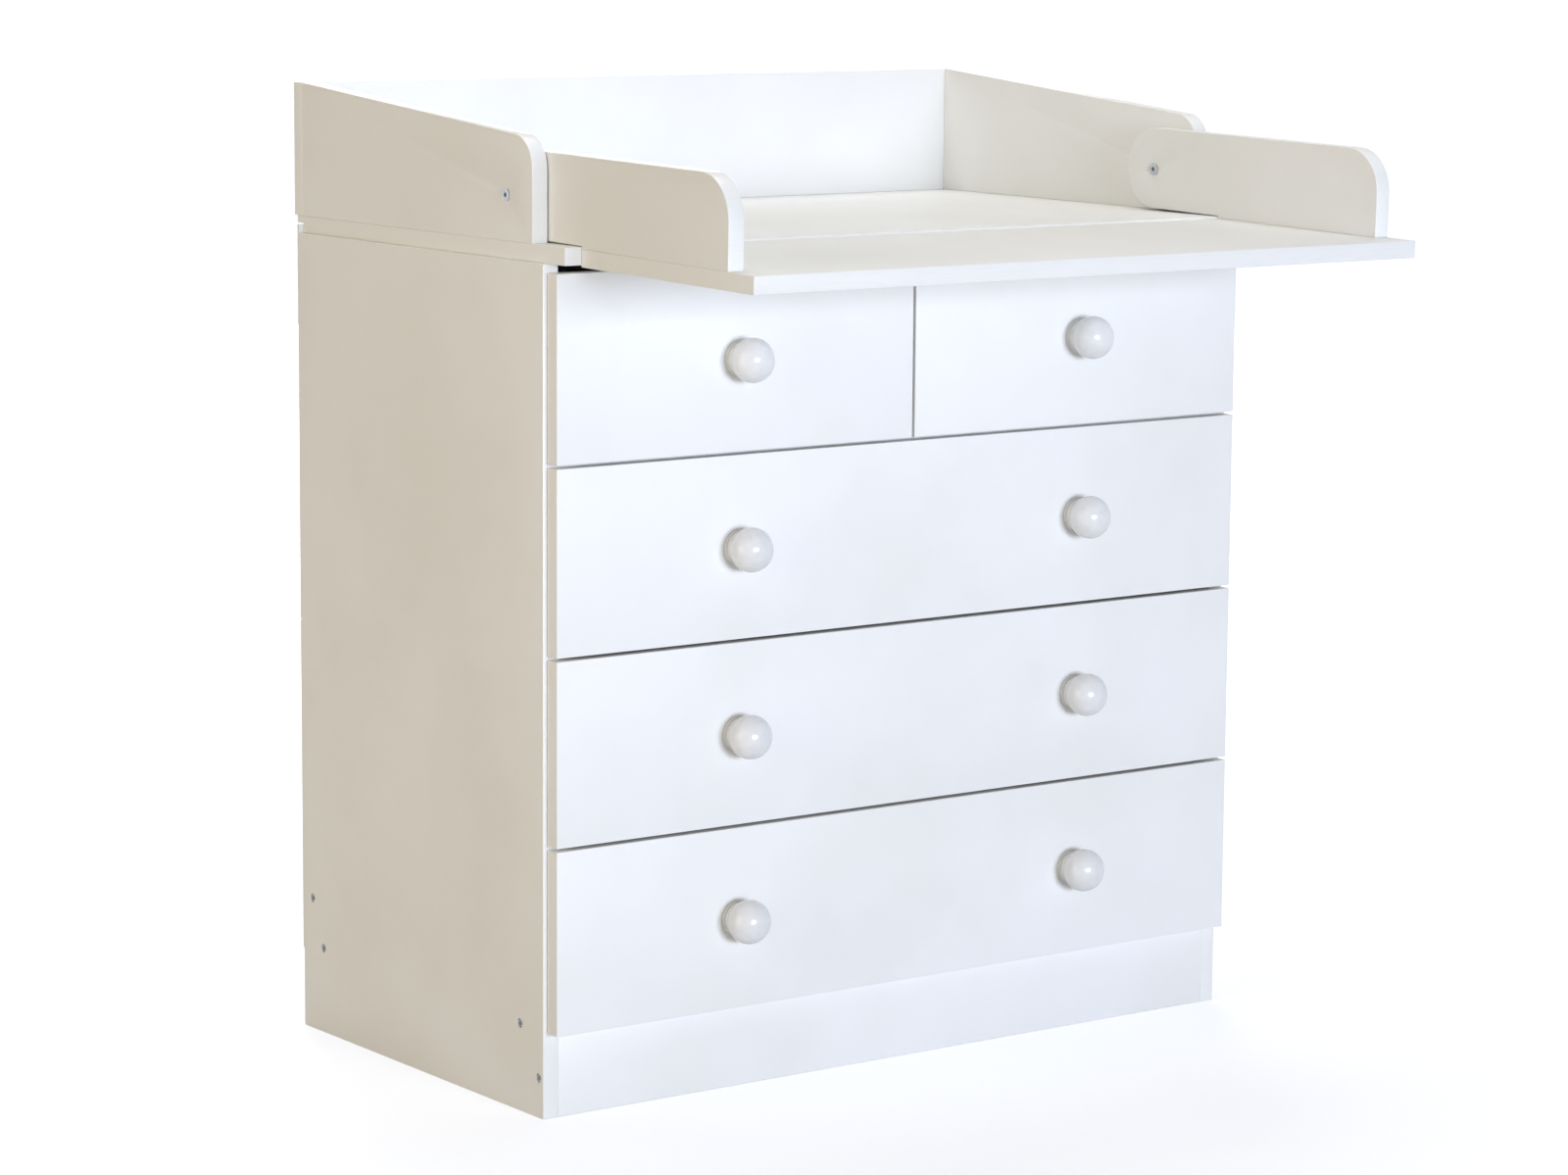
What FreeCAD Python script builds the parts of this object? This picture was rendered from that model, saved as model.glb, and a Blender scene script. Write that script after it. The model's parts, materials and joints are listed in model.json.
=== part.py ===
import FreeCAD, Part
import math
import os

# Changing dresser: a chest of five drawers with a changing tray on top, whose front board folds out.
# Millimetres, +Z up, -Y is the front. X = 0 is the middle of the chest, Z = 0 is the floor, and
# Y = 0 is the middle of the whole depth, from the front edge of the folded-out board to the back.

os.makedirs("parts", exist_ok=True)

# --- boards -------------------------------------------------------------------------------------
board = 16.0                # melamine-faced chipboard
sheet = 3.0                 # hardboard of the back and of the drawer bottoms

# --- chest --------------------------------------------------------------------------------------
chest_width = 800.0         # over the outer faces of the side panels
chest_depth = 425.0         # front edge to back edge of a side panel
side_height = 772.0
plinth_height = 75.5
rail_height = 80.0          # rear rail, standing on the bottom panel
rail_inset = 9.0            # rear rail, in from the back edge of the sides
top_end_inset = 6.0         # end of the top panel, in from the outer face of the chest
top_front_overhang = 26.0
top_back_overhang = 11.5
top_rebate = 9.0            # height of the rebate that takes the back sheet
sheet_head_room = 1.0       # above the back sheet in that rebate
sheet_edge_inset = 1.0      # back sheet, in from the outer faces and from the lower edge it covers
sheet_joint_height = 400.0  # where the two back sheets meet
joiner_width = 20.0         # plastic profile that holds them together
joiner_wall = 1.0

# --- drawers ------------------------------------------------------------------------------------
wide_rows = 3
front_gap = 3.0             # between neighbouring fronts
front_side_inset = 4.0      # end of a front, in from the outer face of the chest
front_plinth_gap = 3.5      # lowest front, above the top edge of the plinth
front_standoff = 0.5        # back of a shut front to the front edges of the chest
flap_clearance = 0.9        # top edge of the fronts to the hanging board above them
box_length = 350.0          # from the front edges of the chest to the back of a drawer
box_lift = 26.0             # lower edge of a front to the bottom of its box
box_drop = 20.0             # upper edge of a front to the top of its box

# --- roller runners -----------------------------------------------------------------------------
runner_gap = 12.5           # between the side of a box and the chest
runner_steel = 1.0
runner_setback = 2.0        # front end of a runner, behind the front edge of the chest
runner_ledge = 12.0         # flange of a drawer runner, under the drawer
chest_runner_reach = 10.0   # flange of a chest runner, across the gap
chest_runner_lip = 1.0      # its upper flange falls short of the lower one by this
drawer_runner_play = 2.5    # edge of a drawer runner's upper flange to the chest
roller_diameter = 20.0
roller_width = 6.0
roller_setback = 14.0       # roller axis, in from the end of its runner
roller_side_play = 1.5      # between the web of a runner and its roller
roller_play = 0.15          # between a roller and the flange it runs on
flange_clearance = 0.4      # between the flanges of two runners that pass each other
pin_diameter = 5.0
pin_end = 0.3               # pin, proud of its roller
running_clearance = 0.08    # radial, of a roller on its pin and of the folding board on its sleeve
mouth_length = 35.0         # upper flange of a chest runner, cut away beside the front roller

# --- knobs --------------------------------------------------------------------------------------
knob_diameter = 41.0
knob_side_ease = 3.5        # radius of the side's arc, short of the knob's radius
knob_crown_ease = 2.5       # radius of the crown's arc, beyond the knob's radius
knob_neck_diameter = 33.0
knob_neck_height = 8.5
knob_foot_diameter = 36.0
knob_foot_thick = 3.0
knob_side_cuts = 4          # straight cuts that turn the side's arc
knob_crown_cuts = 2

# --- changing tray and folding board ------------------------------------------------------------
tray_back_height = 126.0
tray_front_height = 93.0
tray_setback = 52.0         # front edge of the tray sides, behind the front edge of the top panel
tray_corner_radius = 30.0
tray_back_overhang = 5.0    # tray back board, beyond the back edge of the top panel
pivot_setback = 42.5        # pivot, behind the front edge of the tray sides
flap_depth = 258.5
flap_side_height = 81.0
flap_side_setback = 37.5    # front edge of its sides, behind the front edge of the folding board
flap_corner_radius = 40.0
flap_droop = 1.1            # degrees that the opened board hangs below level
fold_gap = 0.3              # half the play of the folded board over the tray
stop_gap = 0.15             # folding board to the edge of the top panel that stops it
relief_clearance = 0.7      # under the part of its sides that lies over the top panel
pivot_washer = 0.8
pivot_play = 0.2            # side play of the folding board at each pivot
sleeve_diameter = 8.0
fit = 0.05                  # radial clearance of a bolt in its hole
pivot_head_diameter = 12.0
pivot_head_thick = 1.2
pivot_screw_diameter = 6.0
socket_width = 4.0          # hexagon socket across its flats
socket_depth = 2.4

# --- places that follow from the sizes ------------------------------------------------------------
half = chest_width / 2
inner = half - board
deck = side_height + board                          # upper face of the top panel
top_end = half - top_end_inset
top_front = -top_front_overhang
top_back = chest_depth + top_back_overhang
tray_front = top_front + tray_setback
tray_rear = top_back + tray_back_overhang - board   # front face of the tray back board
tray_inner = top_end - board
flap_side_gap = pivot_washer + pivot_play
flap_half = tray_inner - flap_side_gap
pivot_y = tray_front + pivot_setback
pivot_rise = flap_side_height / 2 + fold_gap
pivot_z = deck + pivot_rise

# The opened board rests with its lower rear edge against the edge of the top panel.
droop = math.radians(flap_droop)
flap_rear_reach = (pivot_y - top_front + (pivot_rise + board) * math.sin(droop) + stop_gap) / math.cos(droop)
flap_front_reach = flap_rear_reach + flap_depth
flap_relief = flap_rear_reach * math.sin(droop) + relief_clearance
flap_end_radius = (flap_side_height - flap_relief) / 2
flap_front_drop = flap_front_reach * math.sin(droop) - (pivot_rise + board) * (1 - math.cos(droop))

front_top = side_height - flap_front_drop - flap_clearance
front_bottom = plinth_height + front_plinth_gap
front_height = (front_top - front_bottom - wide_rows * front_gap) / (wide_rows + 1)
row_pitch = front_height + front_gap
front_end = half - front_side_inset
front_face = -front_standoff - board
knob_place = (front_end + front_gap / 2) / 2        # middle of a small front
shelf_top = front_bottom + wide_rows * row_pitch + (board - front_gap) / 2
box_height = front_height - box_lift - sheet - box_drop

runner_length = box_length - runner_setback
track_height = roller_diameter + 3 * roller_play
leg_height = track_height + runner_steel + flange_clearance
front_roller_y = runner_setback + roller_setback
rear_roller_y = box_length - roller_setback
front_roller_rise = leg_height - roller_play - roller_diameter / 2
rear_roller_rise = roller_play + roller_diameter / 2
chest_roller_start = runner_steel + roller_side_play
box_roller_start = runner_gap - runner_steel - roller_side_play - roller_width

# The origin lies in the middle of the depth, between the front corner of the folded-out board and
# the back face of the tray.
whole_front = pivot_y - flap_front_reach * math.cos(droop) + pivot_rise * math.sin(droop)
whole_back = top_back + tray_back_overhang
origin_y = (whole_front + whole_back) / 2


def at(x, y, z):
    return FreeCAD.Vector(x, y, z)


def block(x0, x1, y0, y1, z0, z1):
    return Part.makeBox(x1 - x0, y1 - y0, z1 - z0, at(x0, y0, z0))


def rod(diameter, length, start, along):
    return Part.makeCylinder(diameter / 2, length, start, along)


def prism(corners, sweep):
    """A closed outline of corners, swept along a vector."""
    return Part.Face(Part.makePolygon(corners + corners[:1])).extrude(sweep)


def side_board(edges, x0, x1):
    """A closed outline of edges in the YZ plane at x0, run to x1."""
    return Part.Face(Part.Wire(edges)).extrude(at(x1 - x0, 0, 0))


def line(x, a, b):
    return Part.LineSegment(at(x, *a), at(x, *b)).toShape()


def arc(x, centre, radius, start, end):
    """An arc in the YZ plane between two angles in degrees, measured from +Y towards +Z."""
    points = []
    for angle in (start, (start + end) / 2, end):
        turn = math.radians(angle)
        points.append(at(x, centre[0] + radius * math.cos(turn), centre[1] + radius * math.sin(turn)))
    return Part.Arc(*points).toShape()


def save(name, *solids):
    """Move the solids of one node to the part's own origin and write them."""
    shape = solids[0] if len(solids) == 1 else Part.makeCompound(solids)
    shape.translate(at(0, -origin_y, 0))
    shape.exportStep("parts/%s.step" % name)
    print(name, len(solids), "solids", round(shape.Volume / 1000), "cm3")


# --- roller runners -----------------------------------------------------------------------------
def rail(face, inward, base, outline):
    """A rolled runner from its section: (across the gap from the chest's face, above base)."""
    corners = [at(face + inward * across, runner_setback, base + rise) for across, rise in outline]
    return prism(corners, at(0, runner_length, 0))


def chest_runner(face, inward, base):
    """Channel on the chest, open towards the drawer, with the pin of its front roller."""
    steel, reach = runner_steel, chest_runner_reach
    lip = reach - chest_runner_lip
    channel = rail(face, inward, base, [
        (0, -steel), (reach, -steel), (reach, 0), (steel, 0), (steel, track_height),
        (lip, track_height), (lip, track_height + steel), (0, track_height + steel)])
    ends = sorted((face + inward * steel, face + inward * reach))
    mouth = block(ends[0], ends[1], runner_setback, runner_setback + mouth_length,
                  base + track_height, base + track_height + steel)
    pin_start = at(face + inward * steel / 2, front_roller_y, base + front_roller_rise)
    pin_length = chest_roller_start + roller_width + pin_end - steel / 2
    return channel.cut(mouth).fuse(rod(pin_diameter, pin_length, pin_start, at(inward, 0, 0)))


def drawer_runner(face, inward, base):
    """Runner under the lower edge of a drawer, with the pin of its rear roller."""
    steel = runner_steel
    web = runner_gap - steel
    leg = rail(face, inward, base, [
        (drawer_runner_play, leg_height), (web, leg_height), (web, -steel),
        (runner_gap + runner_ledge, -steel), (runner_gap + runner_ledge, 0), (runner_gap, 0),
        (runner_gap, leg_height + steel), (drawer_runner_play, leg_height + steel)])
    pin_start = at(face + inward * (web + steel / 2), rear_roller_y, base + rear_roller_rise)
    pin_length = web + steel / 2 - box_roller_start + pin_end
    return leg.fuse(rod(pin_diameter, pin_length, pin_start, at(-inward, 0, 0)))


def roller(face, inward, start, y, z):
    """Bored nylon roller on the pin of its runner."""
    centre = at(face + inward * start, y, z)
    wheel = rod(roller_diameter, roller_width, centre, at(inward, 0, 0))
    return wheel.cut(rod(pin_diameter + 2 * running_clearance, roller_width, centre, at(inward, 0, 0)))


# --- knobs --------------------------------------------------------------------------------------
def knob(x, z):
    """Turned ball knob: foot, neck, an arc round the side and a flatter arc over the crown."""
    neck = knob_neck_diameter / 2
    side_radius = knob_diameter / 2 - knob_side_ease
    crown_radius = knob_diameter / 2 + knob_crown_ease
    side_z = knob_neck_height + math.sqrt(side_radius ** 2 - (neck - knob_side_ease) ** 2)
    crown_z = side_z - math.sqrt((crown_radius - side_radius) ** 2 - knob_side_ease ** 2)
    neck_turn = -math.acos((neck - knob_side_ease) / side_radius)
    crown_turn = math.atan2(side_z - crown_z, knob_side_ease)

    profile = [(0, 0), (knob_foot_diameter / 2, 0), (knob_foot_diameter / 2, knob_foot_thick)]
    for cut in range(knob_side_cuts):
        turn = neck_turn + (crown_turn - neck_turn) * cut / knob_side_cuts
        profile.append((knob_side_ease + side_radius * math.cos(turn), side_z + side_radius * math.sin(turn)))
    for cut in range(knob_crown_cuts):
        turn = crown_turn + (math.pi / 2 - crown_turn) * cut / knob_crown_cuts
        profile.append((crown_radius * math.cos(turn), crown_z + crown_radius * math.sin(turn)))
    profile.append((0, profile[-1][1]))

    corners = [at(radius, 0, height) for radius, height in profile]
    turned = Part.Face(Part.makePolygon(corners + corners[:1])).revolve(at(0, 0, 0), at(0, 0, 1), 360)
    turned.Placement = FreeCAD.Placement(at(x, front_face, z), FreeCAD.Rotation(at(0, 0, 1), at(0, -1, 0)))
    return turned


# --- drawers ------------------------------------------------------------------------------------
def drawer(name, row, left_face, right_face, front_left, front_right, knob_places):
    """One drawer between two faces of the chest; returns the two chest runners it slides on."""
    bottom = front_bottom + row * row_pitch
    base = bottom + box_lift
    low = base + sheet
    high = low + box_height
    left = left_face + runner_gap
    right = right_face - runner_gap
    back = box_length - board
    faces = ((left_face, 1), (right_face, -1))
    knobs = [knob(x, bottom + front_height / 2) for x in knob_places]
    chest_wheels = [roller(face, inward, chest_roller_start, front_roller_y, base + front_roller_rise)
                    for face, inward in faces]
    box_wheels = [roller(face, inward, box_roller_start, rear_roller_y, base + rear_roller_rise)
                  for face, inward in faces]

    save(name + "_front", block(front_left, front_right, front_face, -front_standoff,
                                bottom, bottom + front_height))
    save(name + "_box_sides", block(left, left + board, -front_standoff, box_length, low, high),
         block(right - board, right, -front_standoff, box_length, low, high))
    save(name + "_box_back", block(left + board, right - board, back, box_length, low, high))
    save(name + "_bottom", block(left, right, -front_standoff, box_length, base, low))
    save(name + "_runners", *[drawer_runner(face, inward, base) for face, inward in faces])
    save(name + ("_knobs" if len(knobs) > 1 else "_knob"), *knobs)
    save(name + "_chest_rollers", *chest_wheels)
    save(name + "_box_rollers", *box_wheels)

    middle = (left + right) / 2
    print("chest roller axis", name, middle, round(front_roller_y - origin_y, 4),
          round(base + front_roller_rise, 4))
    print("box roller axis", name, middle, round(rear_roller_y - origin_y, 4),
          round(base + rear_roller_rise, 4))
    print("inside", name, left + board, right - board, round(-front_standoff - origin_y, 3),
          round(back - origin_y, 3), round(low, 3), round(high, 3))
    return [chest_runner(face, inward, base) for face, inward in faces]


def all_drawers():
    """Wide drawers from the bottom up, then a small one each side of the centre divider."""
    chest_runners = []
    for row, name in zip(range(wide_rows), ("lower", "middle", "upper")):
        chest_runners += drawer(name + "_drawer", row, -inner, inner, -front_end, front_end,
                                (-knob_place, knob_place))
    chest_runners += drawer("small_left_drawer", wide_rows, -inner, -board / 2,
                            -front_end, -front_gap / 2, (-knob_place,))
    chest_runners += drawer("small_right_drawer", wide_rows, board / 2, inner,
                            front_gap / 2, front_end, (knob_place,))
    save("chest_runners", *chest_runners)


# --- chest --------------------------------------------------------------------------------------
def chest():
    rail_back = chest_depth - rail_inset
    bottom_top = plinth_height + board
    top = block(-top_end, top_end, top_front, top_back, side_height, deck)
    rebate = block(-top_end, top_end, chest_depth, top_back, side_height, side_height + top_rebate)
    save("left_side_panel", block(-half, -inner, 0, chest_depth, 0, side_height))
    save("right_side_panel", block(inner, half, 0, chest_depth, 0, side_height))
    save("bottom_panel", block(-inner, inner, 0, chest_depth, plinth_height, bottom_top))
    save("plinth_board", block(-inner, inner, 0, board, 0, plinth_height))
    save("rear_rail", block(-inner, inner, rail_back - board, rail_back, bottom_top, bottom_top + rail_height))
    save("middle_shelf", block(-inner, inner, 0, chest_depth, shelf_top - board, shelf_top))
    save("centre_divider", block(-board / 2, board / 2, 0, chest_depth, shelf_top, side_height))
    save("top_panel", top.cut(rebate))


def chest_back():
    """Two hardboard sheets on the back edges of the chest, and the plastic profile between them."""
    y0 = chest_depth
    y1 = chest_depth + sheet
    end = half - sheet_edge_inset
    web = joiner_wall / 2
    span = joiner_width / 2
    low = plinth_height + sheet_edge_inset
    high = side_height + top_rebate - sheet_head_room
    joint = sheet_joint_height
    section = [(y0 - joiner_wall, -span), (y0, -span), (y0, -web), (y1, -web), (y1, -span),
               (y1 + joiner_wall, -span), (y1 + joiner_wall, span), (y1, span), (y1, web),
               (y0, web), (y0, span), (y0 - joiner_wall, span)]
    joiner_end = inner - sheet_edge_inset
    corners = [at(-joiner_end, y, joint + z) for y, z in section]
    save("lower_back_sheet", block(-end, end, y0, y1, low, joint - web))
    save("upper_back_sheet", block(-end, end, y0, y1, joint + web, high))
    save("back_joiner", prism(corners, at(2 * joiner_end, 0, 0)))


# --- changing tray ------------------------------------------------------------------------------
def tray_side(x0, x1):
    """Side board: its top slopes down to a rounded front corner."""
    slope = (tray_back_height - tray_front_height) / (tray_rear - tray_front)
    tilt = math.atan(slope)
    radius = tray_corner_radius
    centre = (tray_front + radius, deck + tray_front_height + slope * radius - radius / math.cos(tilt))
    tangent = (centre[0] - radius * math.sin(tilt), centre[1] + radius * math.cos(tilt))
    edges = [line(x0, (tray_front, deck), (tray_front, centre[1])),
             arc(x0, centre, radius, 180, 90 + math.degrees(tilt)),
             line(x0, tangent, (tray_rear, deck + tray_back_height)),
             line(x0, (tray_rear, deck + tray_back_height), (tray_rear, deck)),
             line(x0, (tray_rear, deck), (tray_front, deck))]
    bore = rod(sleeve_diameter + 2 * fit, x1 - x0, at(x0, pivot_y, pivot_z), at(1, 0, 0))
    return side_board(edges, x0, x1).cut(bore)


def tray():
    save("tray_back_board", block(-top_end, top_end, tray_rear, tray_rear + board, deck, deck + tray_back_height))
    save("left_tray_side", tray_side(-top_end, -tray_inner))
    save("right_tray_side", tray_side(tray_inner, top_end))


# --- folding board ------------------------------------------------------------------------------
def hang(shape):
    """Let a piece of the folding board down from level to where it hangs when open."""
    shape.rotate(at(0, pivot_y, pivot_z), at(1, 0, 0), flap_droop)
    return shape


def flap_side(x0, x1):
    """Side of the folding board: rounded front corner, half-round rear end about the pivot."""
    rear = pivot_y - flap_rear_reach
    front = pivot_y - flap_front_reach + flap_side_setback
    top = deck + flap_side_height
    relief = deck + flap_relief
    radius = flap_corner_radius
    edges = [line(x0, (front, deck), (front, top - radius)),
             arc(x0, (front + radius, top - radius), radius, 180, 90),
             line(x0, (front + radius, top), (pivot_y, top)),
             arc(x0, (pivot_y, relief + flap_end_radius), flap_end_radius, 90, -90),
             line(x0, (pivot_y, relief), (rear, relief)),
             line(x0, (rear, relief), (rear, deck)),
             line(x0, (rear, deck), (front, deck))]
    bore = rod(sleeve_diameter + 2 * running_clearance, x1 - x0, at(x0, pivot_y, pivot_z), at(1, 0, 0))
    return side_board(edges, x0, x1).cut(bore)


def folding_board():
    panel = block(-flap_half, flap_half, pivot_y - flap_front_reach, pivot_y - flap_rear_reach,
                  side_height, deck)
    save("flap_board", hang(panel))
    save("left_flap_side", hang(flap_side(-flap_half, board - flap_half)))
    save("right_flap_side", hang(flap_side(flap_half - board, flap_half)))


def hex_socket(start, along):
    """Hexagon socket sunk from start along a direction on X."""
    reach = socket_width / math.sqrt(3)
    corners = []
    for side in range(6):
        turn = math.radians(60 * side)
        corners.append(start + at(0, reach * math.cos(turn), reach * math.sin(turn)))
    return prism(corners, along * socket_depth)


def pivots():
    """At each end a sleeve from inside, a screw into it from outside, and a washer between the sides."""
    bolts = []
    washers = []
    barrel = board + flap_side_gap + pivot_play / 2 + board - socket_depth
    shank = 2 * board + flap_side_gap - sleeve_diameter
    for side in (-1, 1):
        outward = at(side, 0, 0)
        inner_end = at(side * (flap_half - board - pivot_play / 2), pivot_y, pivot_z)
        outer_end = at(side * top_end, pivot_y, pivot_z)
        sleeve = rod(sleeve_diameter, barrel, inner_end, outward)
        sleeve = sleeve.fuse(rod(pivot_head_diameter, pivot_head_thick, inner_end, outward * -1))
        sleeve = sleeve.cut(rod(pivot_screw_diameter + 2 * fit, shank + fit, outer_end, outward * -1))
        screw = rod(pivot_screw_diameter, shank, outer_end, outward * -1)
        screw = screw.fuse(rod(pivot_head_diameter, pivot_head_thick, outer_end, outward))
        bolts.append(sleeve.cut(hex_socket(inner_end - outward * pivot_head_thick, outward)))
        bolts.append(screw.cut(hex_socket(outer_end + outward * pivot_head_thick, outward * -1)))
        washer = rod(2 * sleeve_diameter, pivot_washer, at(side * (tray_inner - pivot_washer), pivot_y, pivot_z),
                     at(1, 0, 0) * side)
        bore = rod(sleeve_diameter + 2 * fit, pivot_washer, at(side * (tray_inner - pivot_washer), pivot_y, pivot_z),
                   at(1, 0, 0) * side)
        washers.append(washer.cut(bore))
    save("pivot_bolts", *bolts)
    save("pivot_washers", *washers)
    print("pivot axis", round(pivot_y - origin_y, 4), round(pivot_z, 4))


all_drawers()
chest()
chest_back()
tray()
folding_board()
pivots()
print("origin", round(origin_y, 4), "behind the front edges of the chest; changing surface", deck)
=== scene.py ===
import json
import math

import bpy
from mathutils import Matrix, Vector


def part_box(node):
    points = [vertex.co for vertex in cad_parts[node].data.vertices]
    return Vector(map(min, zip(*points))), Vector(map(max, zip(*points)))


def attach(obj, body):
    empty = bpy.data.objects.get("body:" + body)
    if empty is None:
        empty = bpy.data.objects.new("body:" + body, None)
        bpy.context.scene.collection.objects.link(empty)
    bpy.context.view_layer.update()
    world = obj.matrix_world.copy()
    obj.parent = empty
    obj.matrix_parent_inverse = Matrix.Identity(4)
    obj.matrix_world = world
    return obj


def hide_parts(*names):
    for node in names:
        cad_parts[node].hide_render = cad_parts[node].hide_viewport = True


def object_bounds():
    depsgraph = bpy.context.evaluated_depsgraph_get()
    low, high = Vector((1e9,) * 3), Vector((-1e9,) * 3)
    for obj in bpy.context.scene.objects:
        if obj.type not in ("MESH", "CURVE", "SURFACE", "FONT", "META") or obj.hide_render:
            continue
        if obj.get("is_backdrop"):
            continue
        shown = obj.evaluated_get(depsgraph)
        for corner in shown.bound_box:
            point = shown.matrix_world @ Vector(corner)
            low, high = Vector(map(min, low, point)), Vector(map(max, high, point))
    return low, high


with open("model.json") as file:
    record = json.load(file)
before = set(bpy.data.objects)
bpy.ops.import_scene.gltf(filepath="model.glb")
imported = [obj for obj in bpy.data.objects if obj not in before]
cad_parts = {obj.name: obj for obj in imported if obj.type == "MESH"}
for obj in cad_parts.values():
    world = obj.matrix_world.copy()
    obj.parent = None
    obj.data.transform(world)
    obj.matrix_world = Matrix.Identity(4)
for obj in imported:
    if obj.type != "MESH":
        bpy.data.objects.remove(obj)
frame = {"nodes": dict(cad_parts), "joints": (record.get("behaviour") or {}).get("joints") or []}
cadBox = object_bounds()
joints = {joint["name"]: joint for joint in frame["joints"]}
drawerNames = ["lower_drawer", "middle_drawer", "upper_drawer", "small_left_drawer", "small_right_drawer"]
print("frame loaded:", len(frame["nodes"]), "nodes")


def mm(value):
    return value / 1000


def hexColour(text):                                    # sRGB hex to linear, for the sockets
    channels = [int(text[i:i + 2], 16) / 255 for i in (1, 3, 5)]
    return tuple(c / 12.92 if c <= 0.04045 else ((c + 0.055) / 1.055) ** 2.4 for c in channels) + (1.0,)


def addNode(tree, kind, values=None, links=None, stops=(), **settings):
    node = tree.nodes.new(kind)
    for key, value in settings.items():
        setattr(node, key, value)
    for key, value in (values or {}).items():
        node.inputs[key].default_value = value
    for key, socket in (links or {}).items():
        tree.links.new(socket, node.inputs[key])
    for number, (position, colour) in enumerate(stops):  # the two ends of a colour ramp
        node.color_ramp.elements[number].position = position
        node.color_ramp.elements[number].color = hexColour(colour)
    return node


def startMaterial(name):
    material = bpy.data.materials.new(name)
    material.use_nodes = True
    tree = material.node_tree
    tree.nodes.clear()
    place = addNode(tree, "ShaderNodeTexCoord").outputs["Object"]
    return material, tree, place


def endMaterial(tree, shader):
    addNode(tree, "ShaderNodeOutputMaterial", links={"Surface": shader.outputs["BSDF"]})


def perMetre(size):                                     # noise scale for features of size in mm
    return 1000 / size


def melamineBoard():
    # Melamine-faced chipboard, pressed against a lightly pebbled plate: an even white with a soft,
    # slightly broken sheen. The real pebble is about 0.5 mm and is drawn at 1.4 mm, to show at all.
    look = {"face": "#F1F1EF", "shade": "#ECECE8", "cloud": 180, "pebble": 1.4, "chip": 9}
    material, tree, place = startMaterial("whiteMelamineFacedChipboardPressed")
    cloud = addNode(tree, "ShaderNodeTexNoise", {"Scale": perMetre(look["cloud"]), "Detail": 3.0},
                    {"Vector": place})
    colour = addNode(tree, "ShaderNodeValToRGB", links={"Fac": cloud.outputs["Fac"]},
                     stops=[(0.35, look["shade"]), (0.65, look["face"])]).outputs["Color"]
    pebble = addNode(tree, "ShaderNodeTexNoise", {"Scale": perMetre(look["pebble"]), "Detail": 2.0},
                     {"Vector": place})
    chips = addNode(tree, "ShaderNodeTexNoise", {"Scale": perMetre(look["chip"]), "Detail": 4.0},
                    {"Vector": place})
    sheen = addNode(tree, "ShaderNodeMapRange",
                    {"From Min": 0.3, "From Max": 0.7, "To Min": 0.36, "To Max": 0.48},
                    {"Value": chips.outputs["Fac"]})
    relief = addNode(tree, "ShaderNodeMath", {2: 0.35}, {0: chips.outputs["Fac"], 1: pebble.outputs["Fac"]},
                     operation="MULTIPLY_ADD")
    bump = addNode(tree, "ShaderNodeBump", {"Strength": 0.12, "Distance": mm(0.08)},
                   {"Height": relief.outputs[0]})
    endMaterial(tree, addNode(tree, "ShaderNodeBsdfPrincipled", {"IOR": 1.5},
                              {"Base Color": colour, "Roughness": sheen.outputs[0], "Normal": bump.outputs[0]}))
    return material


def edgeBand():
    # Melamine edge band, ironed on and trimmed: a touch warmer and smoother than the faces, with the
    # faint lengthwise drag of the trimming cutter.
    look = {"band": "#F1F1EE", "shade": "#EEEEEA", "drag": 0.9, "run": 40}
    material, tree, place = startMaterial("whiteMelamineEdgeBandTrimmed")
    turned = addNode(tree, "ShaderNodeMapping",
                     {"Scale": (perMetre(look["run"]), perMetre(look["drag"]), perMetre(look["drag"]))},
                     {"Vector": place})
    drag = addNode(tree, "ShaderNodeTexNoise", {"Scale": 1.0, "Detail": 2.0}, {"Vector": turned.outputs[0]})
    colour = addNode(tree, "ShaderNodeValToRGB", links={"Fac": drag.outputs["Fac"]},
                     stops=[(0.3, look["shade"]), (0.7, look["band"])]).outputs["Color"]
    sheen = addNode(tree, "ShaderNodeMapRange", {"To Min": 0.3, "To Max": 0.42}, {"Value": drag.outputs["Fac"]})
    bump = addNode(tree, "ShaderNodeBump", {"Strength": 0.1, "Distance": mm(0.05)},
                   {"Height": drag.outputs["Fac"]})
    endMaterial(tree, addNode(tree, "ShaderNodeBsdfPrincipled", {"IOR": 1.5},
                              {"Base Color": colour, "Roughness": sheen.outputs[0], "Normal": bump.outputs[0]}))
    return material


def hardboard():
    # High-density hardboard, white-painted by roller: matt, with the fine stipple of the roller.
    look = {"paint": "#EFEFEC", "thin": "#EBEBE7", "stipple": 2.2, "patch": 25}
    material, tree, place = startMaterial("whitePaintedHardboardRolled")
    stipple = addNode(tree, "ShaderNodeTexNoise", {"Scale": perMetre(look["stipple"]), "Detail": 3.0},
                      {"Vector": place})
    patch = addNode(tree, "ShaderNodeTexNoise", {"Scale": perMetre(look["patch"]), "Detail": 2.0},
                    {"Vector": place})
    colour = addNode(tree, "ShaderNodeValToRGB", links={"Fac": patch.outputs["Fac"]},
                     stops=[(0.3, look["thin"]), (0.62, look["paint"])]).outputs["Color"]
    sheen = addNode(tree, "ShaderNodeMapRange", {"To Min": 0.55, "To Max": 0.72},
                    {"Value": stipple.outputs["Fac"]})
    bump = addNode(tree, "ShaderNodeBump", {"Strength": 0.25, "Distance": mm(0.12)},
                   {"Height": stipple.outputs["Fac"]})
    endMaterial(tree, addNode(tree, "ShaderNodeBsdfPrincipled", {"IOR": 1.48},
                              {"Base Color": colour, "Roughness": sheen.outputs[0], "Normal": bump.outputs[0]}))
    return material


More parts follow.
